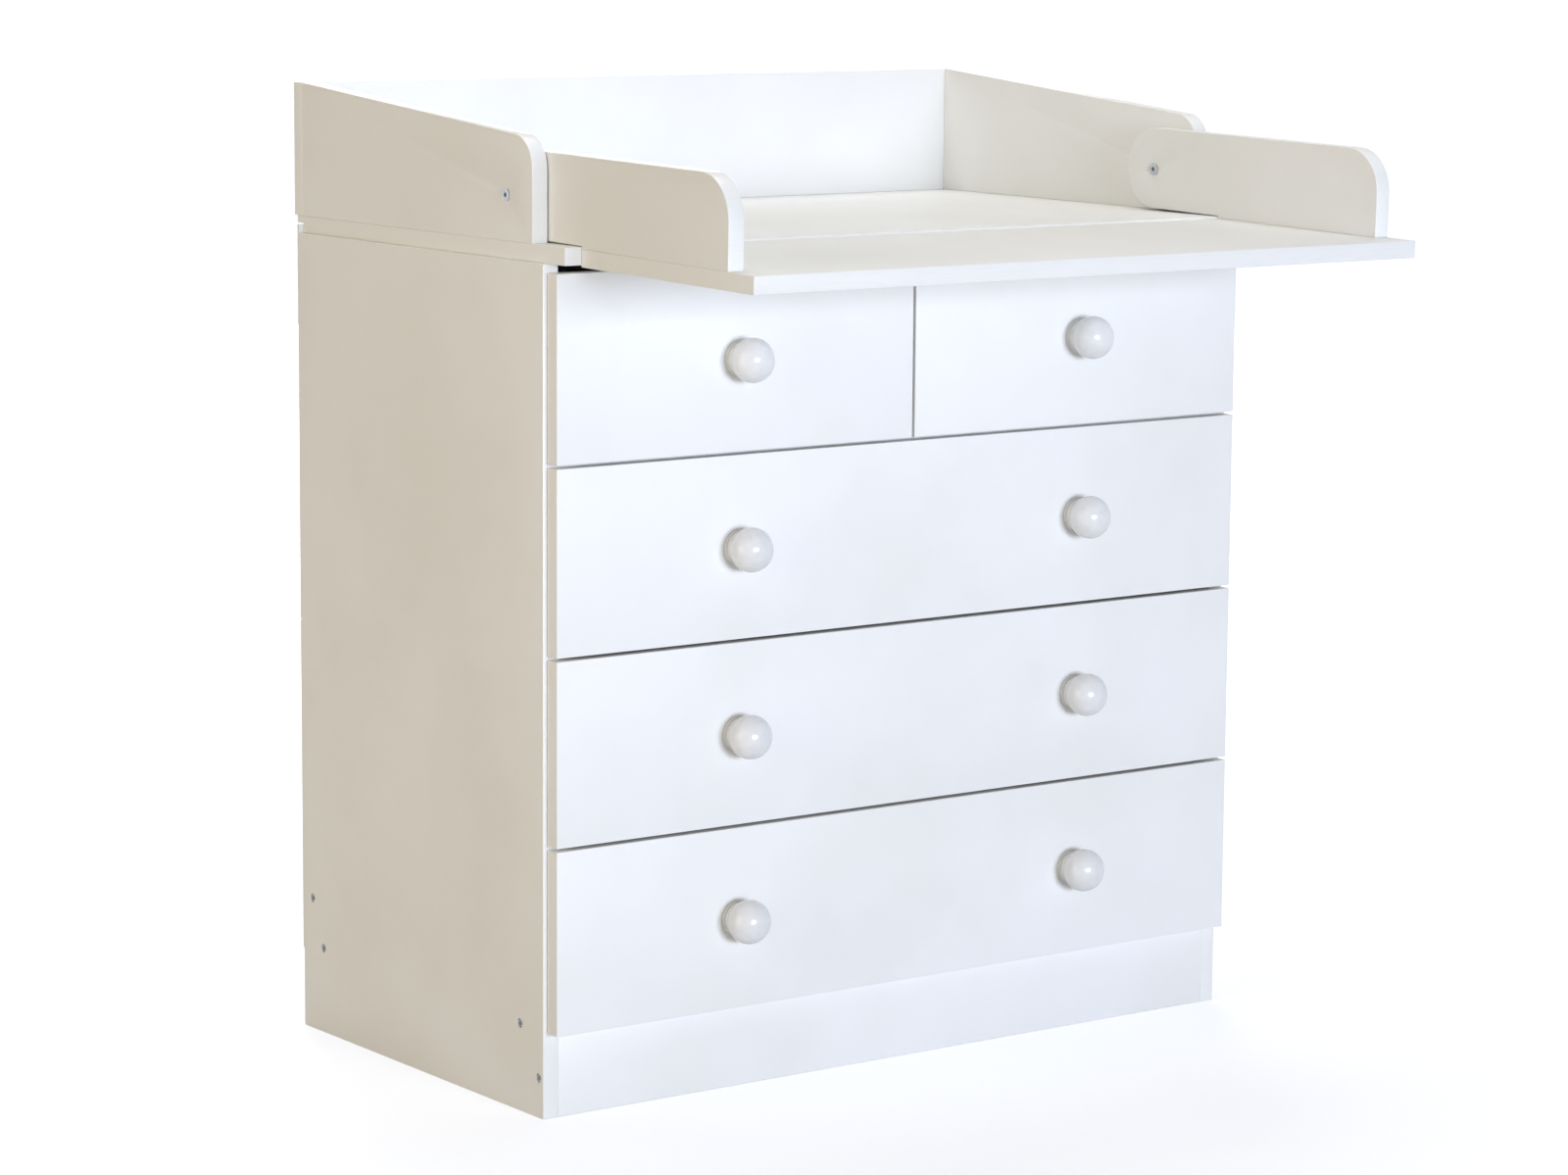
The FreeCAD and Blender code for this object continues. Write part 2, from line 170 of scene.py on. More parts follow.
def glossLacquer():
    # Turned beech under sprayed white gloss lacquer: a deep clear shine over very soft waves left
    # by the turning and the spray.
    look = {"lacquer": "#E5E5E4", "hollow": "#DFDFDE", "wave": 7, "peel": 1.6}
    material, tree, place = startMaterial("whiteGlossLacquerSprayedOnBeech")
    wave = addNode(tree, "ShaderNodeTexNoise", {"Scale": perMetre(look["wave"]), "Detail": 1.0},
                   {"Vector": place})
    peel = addNode(tree, "ShaderNodeTexNoise", {"Scale": perMetre(look["peel"]), "Detail": 1.0},
                   {"Vector": place})
    colour = addNode(tree, "ShaderNodeValToRGB", links={"Fac": wave.outputs["Fac"]},
                     stops=[(0.3, look["hollow"]), (0.7, look["lacquer"])]).outputs["Color"]
    sheen = addNode(tree, "ShaderNodeMapRange", {"To Min": 0.14, "To Max": 0.22},
                    {"Value": peel.outputs["Fac"]})
    bump = addNode(tree, "ShaderNodeBump", {"Strength": 0.06, "Distance": mm(0.1)},
                   {"Height": wave.outputs["Fac"]})
    endMaterial(tree, addNode(tree, "ShaderNodeBsdfPrincipled", {"IOR": 1.5, "Specular IOR Level": 0.45},
                              {"Base Color": colour, "Roughness": sheen.outputs[0], "Normal": bump.outputs[0]}))
    return material


def powderCoatedSteel():
    # Roll-formed steel strip, powder-coated white: smooth satin with a fine orange peel.
    look = {"coat": "#EDEDE8", "thin": "#E3E3DD", "peel": 1.8, "patch": 30}
    material, tree, place = startMaterial("whitePowderCoatedSteelRollFormed")
    peel = addNode(tree, "ShaderNodeTexNoise", {"Scale": perMetre(look["peel"]), "Detail": 1.5},
                   {"Vector": place})
    patch = addNode(tree, "ShaderNodeTexNoise", {"Scale": perMetre(look["patch"]), "Detail": 2.0},
                    {"Vector": place})
    colour = addNode(tree, "ShaderNodeValToRGB", links={"Fac": patch.outputs["Fac"]},
                     stops=[(0.3, look["thin"]), (0.7, look["coat"])]).outputs["Color"]
    sheen = addNode(tree, "ShaderNodeMapRange", {"To Min": 0.28, "To Max": 0.4}, {"Value": peel.outputs["Fac"]})
    bump = addNode(tree, "ShaderNodeBump", {"Strength": 0.15, "Distance": mm(0.1)},
                   {"Height": peel.outputs["Fac"]})
    endMaterial(tree, addNode(tree, "ShaderNodeBsdfPrincipled", {"IOR": 1.5},
                              {"Base Color": colour, "Roughness": sheen.outputs[0], "Normal": bump.outputs[0]}))
    return material


def zincPlate():
    # Cold-headed steel, bright zinc plated: pale bluish grey metal, finely clouded and a little dull.
    look = {"bright": "#C9CBCC", "dull": "#A9ABAB", "cloud": 2.5, "grain": 0.4}
    material, tree, place = startMaterial("zincPlatedSteelColdHeaded")
    cloud = addNode(tree, "ShaderNodeTexNoise", {"Scale": perMetre(look["cloud"]), "Detail": 3.0},
                    {"Vector": place})
    grain = addNode(tree, "ShaderNodeTexNoise", {"Scale": perMetre(look["grain"]), "Detail": 1.0},
                    {"Vector": place})
    colour = addNode(tree, "ShaderNodeValToRGB", links={"Fac": cloud.outputs["Fac"]},
                     stops=[(0.3, look["dull"]), (0.7, look["bright"])]).outputs["Color"]
    sheen = addNode(tree, "ShaderNodeMapRange", {"To Min": 0.25, "To Max": 0.42},
                    {"Value": cloud.outputs["Fac"]})
    bump = addNode(tree, "ShaderNodeBump", {"Strength": 0.12, "Distance": mm(0.03)},
                   {"Height": grain.outputs["Fac"]})
    endMaterial(tree, addNode(tree, "ShaderNodeBsdfPrincipled", {"Metallic": 1.0},
                              {"Base Color": colour, "Roughness": sheen.outputs[0], "Normal": bump.outputs[0]}))
    return material


def mouldedNylon():
    # Polyamide, injection moulded: milky white, slightly translucent, with a dull worn tread.
    look = {"milk": "#EAE8DF", "worn": "#D9D6CB", "wear": 5}
    material, tree, place = startMaterial("naturalNylonMoulded")
    wear = addNode(tree, "ShaderNodeTexNoise", {"Scale": perMetre(look["wear"]), "Detail": 3.0},
                   {"Vector": place})
    colour = addNode(tree, "ShaderNodeValToRGB", links={"Fac": wear.outputs["Fac"]},
                     stops=[(0.32, look["worn"]), (0.6, look["milk"])]).outputs["Color"]
    sheen = addNode(tree, "ShaderNodeMapRange", {"To Min": 0.35, "To Max": 0.55},
                    {"Value": wear.outputs["Fac"]})
    bump = addNode(tree, "ShaderNodeBump", {"Strength": 0.1, "Distance": mm(0.05)},
                   {"Height": wear.outputs["Fac"]})
    endMaterial(tree, addNode(tree, "ShaderNodeBsdfPrincipled",
                              {"IOR": 1.53, "Subsurface Weight": 0.15, "Subsurface Scale": mm(1.5)},
                              {"Base Color": colour, "Roughness": sheen.outputs[0], "Normal": bump.outputs[0]}))
    return material


def extrudedPlastic():
    # Rigid PVC, extruded: an even satin white with faint die lines along its length (the X axis).
    look = {"skin": "#EEEEEA", "line": "#E2E2DC", "pitch": 1.1, "run": 300}
    material, tree, place = startMaterial("whitePvcExtruded")
    turned = addNode(tree, "ShaderNodeMapping",
                     {"Scale": (perMetre(look["run"]), perMetre(look["pitch"]), perMetre(look["pitch"]))},
                     {"Vector": place})
    lines = addNode(tree, "ShaderNodeTexNoise", {"Scale": 1.0, "Detail": 1.0}, {"Vector": turned.outputs[0]})
    colour = addNode(tree, "ShaderNodeValToRGB", links={"Fac": lines.outputs["Fac"]},
                     stops=[(0.3, look["line"]), (0.65, look["skin"])]).outputs["Color"]
    sheen = addNode(tree, "ShaderNodeMapRange", {"To Min": 0.3, "To Max": 0.4}, {"Value": lines.outputs["Fac"]})
    bump = addNode(tree, "ShaderNodeBump", {"Strength": 0.15, "Distance": mm(0.06)},
                   {"Height": lines.outputs["Fac"]})
    endMaterial(tree, addNode(tree, "ShaderNodeBsdfPrincipled", {"IOR": 1.53},
                              {"Base Color": colour, "Roughness": sheen.outputs[0], "Normal": bump.outputs[0]}))
    return material


melamine, band = melamineBoard(), edgeBand()
finishes = {"white_melamine_board": melamine, "white_hardboard": hardboard(),
            "white_gloss_knob": glossLacquer(), "white_runner_steel": powderCoatedSteel(),
            "zinc_plated_steel": zincPlate(), "white_nylon": mouldedNylon(),
            "white_plastic": extrudedPlastic()}
# The record's slot of each CAD node is read from the node's name.
slotWords = [("_runners", "white_runner_steel"), ("_rollers", "white_nylon"), ("_knob", "white_gloss_knob"),
             ("back_sheet", "white_hardboard"), ("drawer_bottom", "white_hardboard"),
             ("joiner", "white_plastic"), ("pivot_", "zinc_plated_steel")]
for nodeName, node in frame["nodes"].items():
    slotName = next((slot for word, slot in slotWords if word in nodeName), "white_melamine_board")
    node.data.materials.clear()
    node.data.materials.append(finishes[slotName])
print("materials ready:", len(finishes) + 1)


def pickNone():
    if bpy.context.object and bpy.context.object.mode == "EDIT":
        bpy.ops.object.mode_set(mode="OBJECT")
    bpy.ops.object.select_all(action="DESELECT")


def workOn(piece):
    pickNone()
    piece.select_set(True)
    bpy.context.view_layer.objects.active = piece


def settle(piece):                                      # place, turn and size go into the mesh
    workOn(piece)
    bpy.ops.object.transform_apply(location=True, rotation=True, scale=True)


def pick(piece, kind, test):                            # edit mode, with the items whose points all pass
    workOn(piece)
    bpy.ops.object.mode_set(mode="EDIT")
    bpy.ops.mesh.select_mode(type=kind)
    bpy.ops.mesh.select_all(action="DESELECT")
    bpy.ops.object.mode_set(mode="OBJECT")
    mesh = piece.data
    for item in {"VERT": mesh.vertices, "EDGE": mesh.edges, "FACE": mesh.polygons}[kind]:
        points = [item.co] if kind == "VERT" else [mesh.vertices[i].co for i in item.vertices]
        item.select = all(test(point) for point in points)
    bpy.ops.object.mode_set(mode="EDIT")


def addBlock(name, low, high):
    pickNone()
    low, high = Vector(low), Vector(high)
    bpy.ops.mesh.primitive_cube_add(size=1, location=(low + high) / 2, scale=high - low)
    piece = bpy.context.object
    piece.name = piece.data.name = name
    settle(piece)
    return piece


def addRod(name, radius, start, along, sides=32):       # along is a vector, its length the rod's length
    pickNone()
    along = Vector(along)
    turn = along.to_track_quat("Z", "Y").to_euler()
    bpy.ops.mesh.primitive_cylinder_add(vertices=sides, radius=radius, depth=along.length,
                                        location=Vector(start) + along / 2, rotation=turn)
    piece = bpy.context.object
    piece.name = piece.data.name = name
    settle(piece)
    return piece


sharpAngle = math.radians(40)                           # edges that turn more than this are eased
touch = 1e-5                                            # metres, two places that count as one
margin = mm(5)                                          # a cutter stands this far past the board it cuts


def useModifier(piece, kind, **settings):
    workOn(piece)
    modifier = piece.modifiers.new(kind.lower(), kind)
    for key, value in settings.items():
        setattr(modifier, key, value)
    bpy.ops.object.modifier_apply(modifier=modifier.name)


def easeEdges(piece, radius, steps):
    useModifier(piece, "BEVEL", width=radius, segments=steps, limit_method="ANGLE", angle_limit=sharpAngle)


def cutAway(piece, cutter):
    useModifier(piece, "BOOLEAN", operation="DIFFERENCE", solver="EXACT", object=cutter)
    bpy.data.objects.remove(cutter)


def joinInto(pieces, name):
    workOn(pieces[0])
    for piece in pieces:
        piece.select_set(True)
    if len(pieces) > 1:
        bpy.ops.object.join()
    pieces[0].name = pieces[0].data.name = name
    return pieces[0]


def copyMoved(piece, name, move):
    twin = piece.copy()
    twin.data = piece.data.copy()
    twin.name = twin.data.name = name
    bpy.context.scene.collection.objects.link(twin)
    twin.data.transform(move)
    return twin


def dress(piece, body, materials, replaces=(), smooth=35):
    piece.data.materials.clear()
    for material in materials:
        piece.data.materials.append(material)
    workOn(piece)
    bpy.ops.object.shade_smooth_by_angle(angle=math.radians(smooth))
    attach(piece, body)
    if replaces:
        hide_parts(*replaces)
    return piece


def bandEdges(piece, edgeAxes):                         # second material on the faces that look along these
    for face in piece.data.polygons:
        largest = max(range(3), key=lambda axis: abs(face.normal[axis]))
        face.material_index = 1 if largest in edgeAxes else 0


boards = {"round": mm(0.7), "steps": 3}                 # trimmed edge of a banded board


def boardPiece(node):                                   # a plain board with eased edges, as large as its node
    low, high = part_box(node)
    piece = addBlock(node + "_banded", low, high)
    easeEdges(piece, boards["round"], boards["steps"])
    return piece


def finishBoard(piece, node, body, thin):               # thin: the axis across the board
    dress(piece, body, [melamine, band], [node])
    bandEdges(piece, [axis for axis in range(3) if axis != thin])


# Connecting screws with a hexagon socket, each sunk in a hole: "room" is round the head, "deep" the
# hole, "past" how far its cutters reach out of it.
sunkScrew = {"head": 8.4, "thick": 1.8, "round": 0.25, "roundSteps": 2, "socket": 4.6, "socketDeep": 1.6,
             "sink": 1.3, "room": 0.2, "deep": 3.2, "past": 1}
sideScrews = [(408, 129.3), (388, 83), (38.8, 81.6), (8, 37)]    # back from the front edge, and up


def screwHead(name):                                    # looks along +X, outer face at x = 0
    facts = sunkScrew
    head = addRod(name, mm(facts["head"] / 2), (mm(-facts["thick"]), 0, 0), (mm(facts["thick"]), 0, 0))
    easeEdges(head, mm(facts["round"]), facts["roundSteps"])
    cutAway(head, addRod("cutter", mm(facts["socket"] / math.sqrt(3)), (mm(-facts["socketDeep"]), 0, 0),
                         (mm(facts["socketDeep"] + facts["past"]), 0, 0), sides=6))
    return head


def sinkHole(board, place, outward):                    # for a screw head sunk under the face
    outward = Vector(outward)
    cutAway(board, addRod("cutter", mm(sunkScrew["head"] / 2 + sunkScrew["room"]),
                          Vector(place) - outward * mm(sunkScrew["deep"]),
                          outward * mm(sunkScrew["deep"] + sunkScrew["past"])))


confirmatHead = screwHead("confirmatHead")

for sideName, outward in (("left", -1), ("right", 1)):
    node = sideName + "_side_panel"
    low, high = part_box(node)
    panel = boardPiece(node)
    heads = []
    face = high.x if outward > 0 else low.x
    for number, (back, up) in enumerate(sideScrews):
        place = Vector((face, low.y + mm(back), mm(up)))
        sinkHole(panel, place, (outward, 0, 0))
        turn = Matrix.Identity(4) if outward > 0 else Matrix.Rotation(math.pi, 4, "Z")
        sunk = place - Vector((outward * mm(sunkScrew["sink"]), 0, 0))
        heads.append(copyMoved(confirmatHead, "head%d" % number, Matrix.Translation(sunk) @ turn))
    finishBoard(panel, node, "chest", 0)
    dress(joinInto(heads, sideName + "_side_screws"), "chest",
          [finishes["zinc_plated_steel"]])

finishBoard(boardPiece("plinth_board"), "plinth_board", "chest", 1)

trayBackScrews = {"in": 8, "up": (30, 92)}              # from the ends and from the lower edge
trayBack = boardPiece("tray_back_board")
low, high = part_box("tray_back_board")
trayCorners = [Vector((side * (high.x - mm(trayBackScrews["in"])), high.y, low.z + mm(up)))
               for side in (-1, 1) for up in trayBackScrews["up"]]
for place in trayCorners:
    sinkHole(trayBack, place, (0, 1, 0))
finishBoard(trayBack, "tray_back_board", "chest", 1)
for drawerName in drawerNames:
    node = drawerName + "_front"
    finishBoard(boardPiece(node), node, drawerName, 1)

# Top panel, with the rebate for the back sheet under its back edge.
topRebate = {"height": mm(9), "depth": mm(12)}
low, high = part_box("top_panel")
topPanel = addBlock("top_panel_banded", low, high)
cutAway(topPanel, addBlock("cutter", (low.x - margin, high.y - topRebate["depth"], low.z - margin),
                           (high.x + margin, high.y + margin, low.z + topRebate["height"])))
easeEdges(topPanel, boards["round"], boards["steps"])
finishBoard(topPanel, "top_panel", "chest", 2)
print("chest boards ready")


pivot = Vector(joints["folding_board_pivot"]["pos_m"])
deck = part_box("top_panel")[1].z

traySides = {"frontHeight": mm(93), "corner": mm(30), "steps": 14, "bore": mm(8.1)}
for sideName in ("left", "right"):
    node = sideName + "_tray_side"
    low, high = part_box(node)
    side = addBlock(node + "_banded", low, high)
    pick(side, "VERT", lambda point: point.y < low.y + touch and point.z > high.z - touch)
    bpy.ops.transform.translate(value=(0, 0, low.z + traySides["frontHeight"] - high.z))
    tilt = math.atan((high.z - low.z - traySides["frontHeight"]) / (high.y - low.y))
    pick(side, "EDGE", lambda point: point.y < low.y + touch and point.z > low.z + touch)
    cornerReach = traySides["corner"] / math.tan(math.pi / 4 + tilt / 2)
    bpy.ops.mesh.bevel(offset=cornerReach, segments=traySides["steps"], affect="EDGES")
    bpy.ops.object.mode_set(mode="OBJECT")
    cutAway(side, addRod("cutter", traySides["bore"] / 2, (low.x - margin, pivot.y, pivot.z),
                         (high.x - low.x + 2 * margin, 0, 0)))
    easeEdges(side, boards["round"], boards["steps"])
    finishBoard(side, node, "chest", 0)

folding = {"droop": 1.1, "thick": mm(16), "depth": mm(258.5), "sideHeight": mm(81), "setback": mm(37.5),
           "corner": mm(40), "cornerSteps": 16, "endSteps": 20, "endFlat": mm(0.02), "bore": mm(8.16),
           "stopGap": mm(0.15), "relief": mm(0.7), "screws": (45, 115, 185)}
droop = math.radians(folding["droop"])
rise = pivot.z - deck
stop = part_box("top_panel")[0].y - folding["stopGap"]    # where the lower rear edge of the board rests
rearReach = (pivot.y - stop + (rise + folding["thick"]) * math.sin(droop)) / math.cos(droop)
frontReach = rearReach + folding["depth"]
boardFront, boardRear = pivot.y - frontReach, pivot.y - rearReach
sideFront, sideTop = boardFront + folding["setback"], deck + folding["sideHeight"]
relief = deck + rearReach * math.sin(droop) + folding["relief"]
endRadius = (sideTop - relief) / 2                      # half-round rear end of its sides
hang = Matrix.Translation(pivot) @ Matrix.Rotation(droop, 4, "X") @ Matrix.Translation(-pivot)


def hangPiece(piece):                                   # let down from level to where it hangs when open
    piece.data.transform(hang)
    return piece


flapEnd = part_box("flap_board")[1].x
flapPanel = addBlock("flap_board_banded", (-flapEnd, boardFront, deck - folding["thick"]),
                     (flapEnd, boardRear, deck))
easeEdges(flapPanel, boards["round"], boards["steps"])
flapUnder = [Vector((side * (flapEnd - folding["thick"] / 2), sideFront + mm(back), deck - folding["thick"]))
             for side in (-1, 1) for back in folding["screws"]]
for place in flapUnder:
    sinkHole(flapPanel, place, (0, 0, -1))
finishBoard(hangPiece(flapPanel), "flap_board", "folding_board", 2)

for sideName, outward in (("left", -1), ("right", 1)):
    node = sideName + "_flap_side"
    ends = sorted((outward * flapEnd, outward * (flapEnd - folding["thick"])))
    side = addBlock(node + "_banded", (ends[0], sideFront, relief), (ends[1], pivot.y + endRadius, sideTop))
    pick(side, "EDGE", lambda point: point.y < sideFront + touch and point.z > sideTop - touch)
    bpy.ops.mesh.bevel(offset=folding["corner"], segments=folding["cornerSteps"], affect="EDGES")
    for endHeight in (relief, sideTop):                 # the two bevels nearly meet, half round about the pivot
        pick(side, "EDGE",
             lambda point: point.y > pivot.y + endRadius - touch and abs(point.z - endHeight) < touch)
        bpy.ops.mesh.bevel(offset=endRadius - folding["endFlat"], segments=folding["endSteps"], affect="EDGES")
    bpy.ops.mesh.select_all(action="SELECT")
    bpy.ops.mesh.bisect(plane_co=(0, boardRear, 0), plane_no=(0, 1, 0))
    pick(side, "FACE", lambda point: point.z < relief + touch and point.y < boardRear + touch)
    bpy.ops.mesh.extrude_region_move(TRANSFORM_OT_translate={"value": (0, 0, deck - relief)})
    bpy.ops.object.mode_set(mode="OBJECT")
    cutAway(side, addRod("cutter", folding["bore"] / 2, (ends[0] - margin, pivot.y, pivot.z),
                         (folding["thick"] + 2 * margin, 0, 0)))
    easeEdges(side, boards["round"], boards["steps"])
    finishBoard(hangPiece(side), node, "folding_board", 0)
print("tray sides and folding board ready")


# Radii and heights over the drawer front, mm. The waist is how much slimmer the neck gets, that far
# below the ball. The steps are counts of rings.
knobShape = {"foot": 16.6, "footThick": 3.0, "footEase": 0.3, "footRound": 1.2, "rimSteps": 4, "neck": 16.0,
             "neckHeight": 8.5, "waist": 0.4, "waistBelow": 2.5, "widest": 20.5, "sideEase": 3.5,
             "crownEase": 2.5, "sides": 72, "sideSteps": 16, "crownSteps": 9, "weld": 0.001}


def knobRings():                                        # (radius, height over the front), mm
    facts = knobShape
    sideRadius, crownRadius = facts["widest"] - facts["sideEase"], facts["widest"] + facts["crownEase"]
    sideHeight = facts["neckHeight"] + math.sqrt(sideRadius ** 2 - (facts["neck"] - facts["sideEase"]) ** 2)
    crownHeight = sideHeight - math.sqrt((crownRadius - sideRadius) ** 2 - facts["sideEase"] ** 2)
    first = -math.acos((facts["neck"] - facts["sideEase"]) / sideRadius)
    last = math.atan2(sideHeight - crownHeight, facts["sideEase"])
    foot, thick, soft = facts["foot"], facts["footThick"], facts["footRound"]
    rings = [(foot, thick - soft)]
    for step in range(1, facts["rimSteps"] + 1):        # rounded rim of the foot
        turn = math.pi / 2 * step / facts["rimSteps"]
        rings.append((foot - soft + soft * math.cos(turn), thick - soft + soft * math.sin(turn)))
    rings.append((facts["neck"] - facts["waist"], facts["neckHeight"] - facts["waistBelow"]))
    rings.append((facts["neck"], facts["neckHeight"]))
    for step in range(1, facts["sideSteps"] + 1):
        turn = first + (last - first) * step / facts["sideSteps"]
        rings.append((facts["sideEase"] + sideRadius * math.cos(turn),
                      sideHeight + sideRadius * math.sin(turn)))
    for step in range(1, facts["crownSteps"]):
        turn = last + (math.pi / 2 - last) * step / facts["crownSteps"]
        rings.append((crownRadius * math.cos(turn), crownHeight + crownRadius * math.sin(turn)))
    return rings, crownHeight + crownRadius


def turnKnob(name):                                     # a disc drawn out in rings towards -Y from y = 0
    pickNone()
    radius, height = knobShape["foot"] - knobShape["footEase"], 0.0
    bpy.ops.mesh.primitive_circle_add(vertices=knobShape["sides"], radius=mm(radius), fill_type="NGON",
                                      location=(0, 0, 0), rotation=(math.pi / 2, 0, 0))
    piece = bpy.context.object
    piece.name = piece.data.name = name
    settle(piece)
    pick(piece, "FACE", lambda point: True)
    rings, top = knobRings()
    for nextRadius, nextHeight in [(knobShape["foot"], knobShape["footEase"])] + rings:
        bpy.ops.mesh.extrude_region_move(TRANSFORM_OT_translate={"value": (0, mm(height - nextHeight), 0)})
        scale = nextRadius / radius
        bpy.ops.transform.resize(value=(scale, 1, scale), center_override=(0, mm(-nextHeight), 0))
        radius, height = nextRadius, nextHeight
    bpy.ops.mesh.extrude_region_move(TRANSFORM_OT_translate={"value": (0, mm(height - top), 0)})
    bpy.ops.mesh.merge(type="CENTER")
    bpy.ops.mesh.select_all(action="SELECT")
    bpy.ops.mesh.remove_doubles(threshold=mm(knobShape["weld"]))
    bpy.ops.mesh.normals_make_consistent(inside=False)
    bpy.ops.object.mode_set(mode="OBJECT")
    return piece


knob = turnKnob("knobPattern")
knobPlaces = {}
for drawerName in drawerNames:
    node = next(name for name in frame["nodes"] if name.startswith(drawerName + "_knob"))
    low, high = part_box(node)
    middle, reach = (low.x + high.x) / 2, (high.z - low.z) / 2
    alone = node.endswith("_knob")
    places = [round(x, 5) for x in ([middle] if alone else [low.x + reach, high.x - reach])]
    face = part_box(drawerName + "_front")[0].y
    knobPlaces[drawerName] = [Vector((x, face, (low.z + high.z) / 2)) for x in places]
    for number, place in enumerate(knobPlaces[drawerName]):
        label = "_turned" if alone else ("_left_turned", "_right_turned")[number]
        twin = copyMoved(knob, drawerName + "_knob" + label, Matrix.Translation(place))
        dress(twin, drawerName, [finishes["white_gloss_knob"]], [node], smooth=50)
print("knobs ready")


# Heads, mm: diameter, thickness, rounding, sides, steps of the rounding, half the length of the cross.
headShapes = {"truss": (9.0, 2.0, 1.6, 24, 4, 2.0), "pan": (6.4, 0.9, 0.6, 24, 4, 1.6),
              "cam": (15.0, 0.5, 0.2, 24, 4, 4.0), "nail": (5.0, 0.7, 0.55, 16, 3, 0)}
crossCut = {"deep": 0.6, "slim": 0.2, "past": 1}        # share of the head, share of its length, mm


def fastenerHead(name, kind):                           # looks along +X, seat at x = 0
    diameter, thick, dome, sides, steps, cross = headShapes[kind]
    head = addRod(name, mm(diameter / 2), (0, 0, 0), (mm(thick), 0, 0), sides)
    pick(head, "EDGE", lambda point: point.x > mm(thick) - touch)
    bpy.ops.mesh.bevel(offset=mm(dome), segments=steps, affect="EDGES")
    bpy.ops.object.mode_set(mode="OBJECT")
    for turn in (0, 90) if cross else ():
        width = cross * crossCut["slim"]
        blade = addBlock("cutter", (mm(thick * (1 - crossCut["deep"])), mm(-cross), mm(-width)),
                         (mm(thick + crossCut["past"]), mm(cross), mm(width)))
        blade.data.transform(Matrix.Rotation(math.radians(turn), 4, "X"))
        cutAway(head, blade)
    return head


def faceAlong(place, outward):                          # matrix that takes +X to the outward direction
    return Matrix.Translation(place) @ Vector(outward).to_track_quat("X", "Z").to_matrix().to_4x4()


def fastenerSet(pattern, name, body, slot, spots):
    copies = [copyMoved(pattern, "copy%d" % number, faceAlong(place, outward))
              for number, (place, outward) in enumerate(spots)]
    return dress(joinInto(copies, name), body, [finishes[slot]])


truss = fastenerHead("trussHead", "truss")
pan = fastenerHead("panHead", "pan")
cam = fastenerHead("camDisc", "cam")
nail = fastenerHead("nailHead", "nail")

sink = mm(sunkScrew["sink"])
fastenerSet(confirmatHead, "tray_corner_screws", "chest", "zinc_plated_steel",
            [(place - Vector((0, sink, 0)), (0, 1, 0)) for place in trayCorners])
under = hang.to_3x3() @ Vector((0, 0, -1))
fastenerSet(confirmatHead, "flap_underside_screws", "folding_board", "zinc_plated_steel",
            [(hang @ (place + Vector((0, 0, sink))), under) for place in flapUnder])

seat = mm(0.05)                                         # a nail or knob screw sits this deep in its board
backNails = {"step": mm(118), "in": mm(8), "ends": mm(16)}
nails = []
for node in ("lower_back_sheet", "upper_back_sheet"):
    low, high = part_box(node)
    left, right = low.x + backNails["in"], high.x - backNails["in"]
    edge = low.z + backNails["in"] if node.startswith("lower") else high.z - backNails["in"]
    along = round((high.x - low.x) / backNails["step"])
    upward = round((high.z - low.z) / backNails["step"])
    for step in range(along + 1):
        x = left + (right - left) * step / along
        nails.append((Vector((x, high.y - seat, edge)), (0, 1, 0)))
    for step in range(1, upward):
        z = low.z + backNails["ends"] + (high.z - low.z - 2 * backNails["ends"]) * step / upward
        for x in (left, right):
            nails.append((Vector((x, high.y - seat, z)), (0, 1, 0)))
fastenerSet(nail, "back_sheet_nails", "chest", "zinc_plated_steel", nails)

# Cams in the box sides, and the screws in the two runners at each side. The drawer's are in the web
# beside the box, the chest's in the web across the gap.
boxFittings = {"side": mm(16), "camBack": mm(33), "camRise": mm(36)}
runnerScrews = {"back": (60, 280), "web": mm(1), "up": mm(8), "chestGap": mm(10.5), "chestBack": 6,
                "chestUp": mm(10)}
chestRunnerScrews = []
for drawerName in drawerNames:
    low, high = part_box(drawerName + "_box_sides")
    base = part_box(drawerName + "_bottom")[0].z
    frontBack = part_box(drawerName + "_front")[1].y
    middle = (low.z + high.z) / 2
    faces = ((low.x + boxFittings["side"], 1), (high.x - boxFittings["side"], -1))
    cams = [(Vector((x, low.y + boxFittings["camBack"], middle + side * boxFittings["camRise"])), (turn, 0, 0))
            for x, turn in faces for side in (-1, 1)]
    fastenerSet(cam, drawerName + "_cams", drawerName, "zinc_plated_steel", cams)
    fastenerSet(truss, drawerName + "_knob_screws", drawerName, "zinc_plated_steel",
                [(Vector((place.x, frontBack - seat, place.z)), (0, 1, 0)) for place in knobPlaces[drawerName]])
    webs = []
    for x, turn in ((low.x - runnerScrews["web"], -1), (high.x + runnerScrews["web"], 1)):
        for back in runnerScrews["back"]:
            webs.append((Vector((x, low.y + mm(back), base + runnerScrews["up"])), (turn, 0, 0)))
            chestSpot = Vector((x + turn * runnerScrews["chestGap"],
                                low.y + mm(back + runnerScrews["chestBack"]), base + runnerScrews["chestUp"]))
            chestRunnerScrews.append((chestSpot, (-turn, 0, 0)))
    fastenerSet(pan, drawerName + "_runner_screws", drawerName, "zinc_plated_steel", webs)
fastenerSet(pan, "chest_runner_screws", "chest", "zinc_plated_steel", chestRunnerScrews)
print("fasteners ready")


shot = {"place": (-2.59545, -3.44385, 1.10273), "yaw": 36.161, "pitch": -8.72, "roll": 0.4299,
        "lens": 105.2638, "sensor": 36, "clip": (0.05, 200)}


